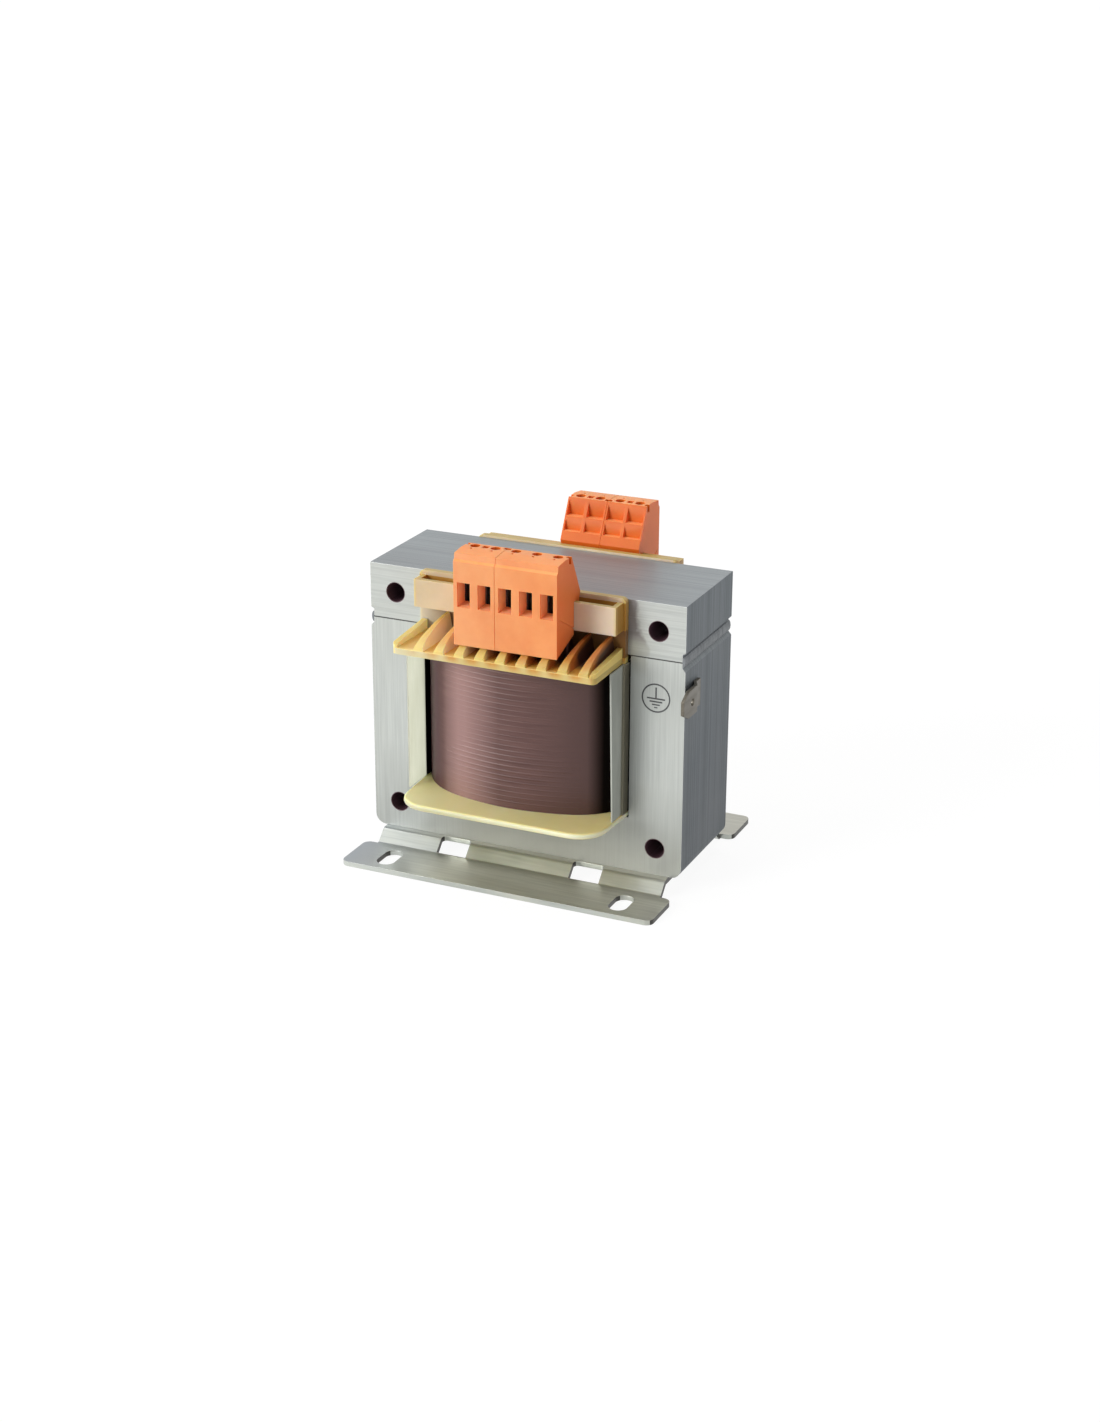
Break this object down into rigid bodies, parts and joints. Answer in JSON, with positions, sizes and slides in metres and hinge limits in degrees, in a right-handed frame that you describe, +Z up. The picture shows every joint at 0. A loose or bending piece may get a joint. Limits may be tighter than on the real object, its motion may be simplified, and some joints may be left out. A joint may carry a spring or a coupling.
{
  "type": "laminated chassis transformer",
  "caption": "Open-frame mains transformer: welded EI core on two slotted feet, wound bobbin, orange screw terminals in front and behind, earth blade on the side.",
  "frame": {"origin": "centre of the mounting plane, in the middle of the four fixing slots under the feet", "axes": "+Z up from the chassis, +X along the width of the laminations towards the earth tab, -Y towards the primary terminals"},
  "size_m": [0.0798, 0.064, 0.0793],
  "materials": {
    "lamination_steel": "bare silicon steel, edges of the sheets showing",
    "weld": "plain weld bead",
    "foot_steel": "bright zinc-plated sheet",
    "natural_nylon": "uncoloured glass-filled nylon, slightly translucent",
    "enamelled_wire": "mauve-brown enamel on copper",
    "insulation_film": "thin wound film",
    "insulation_board": "pale pressboard",
    "grey_insulation": "grey-green insulating sheet",
    "tinned_brass": "tinned",
    "orange_plastic": "moulded, satin",
    "clamp_metal": "plated steel",
    "screw_steel": "zinc-plated"
  },
  "bodies": {
    "root": {"e_core": "lamination_steel", "yoke": "lamination_steel", "weld_bead_left": "weld", "weld_bead_right": "weld", "front_foot": "foot_steel", "rear_foot": "foot_steel", "bobbin": "natural_nylon", "primary_winding": "enamelled_wire", "interwinding_insulation": "insulation_film", "secondary_winding": "enamelled_wire", "window_liner_left": "insulation_board", "window_liner_right": "insulation_board", "winding_side_sheet": "grey_insulation", "earth_tab": "tinned_brass", "primary_housing_2_pole": "orange_plastic", "primary_housing_3_pole": "orange_plastic", "secondary_housing_left": "orange_plastic", "secondary_housing_right": "orange_plastic", "primary_clamp_1": "clamp_metal", "primary_clamp_screw_1": "screw_steel", "primary_lead_1": "enamelled_wire", "primary_clamp_2": "clamp_metal", "primary_clamp_screw_2": "screw_steel", "primary_lead_2": "enamelled_wire", "primary_clamp_3": "clamp_metal", "primary_clamp_screw_3": "screw_steel", "primary_lead_3": "enamelled_wire", "primary_clamp_4": "clamp_metal", "primary_clamp_screw_4": "screw_steel", "primary_lead_4": "enamelled_wire", "primary_clamp_5": "clamp_metal", "primary_clamp_screw_5": "screw_steel", "primary_lead_5": "enamelled_wire", "secondary_clamp_1": "clamp_metal", "secondary_clamp_screw_1": "screw_steel", "secondary_lead_1": "enamelled_wire", "secondary_clamp_2": "clamp_metal", "secondary_clamp_screw_2": "screw_steel", "secondary_lead_2": "enamelled_wire", "secondary_clamp_3": "clamp_metal", "secondary_clamp_screw_3": "screw_steel", "secondary_lead_3": "enamelled_wire", "secondary_clamp_4": "clamp_metal", "secondary_clamp_screw_4": "screw_steel", "secondary_lead_4": "enamelled_wire"}
  },
  "joints": []
}
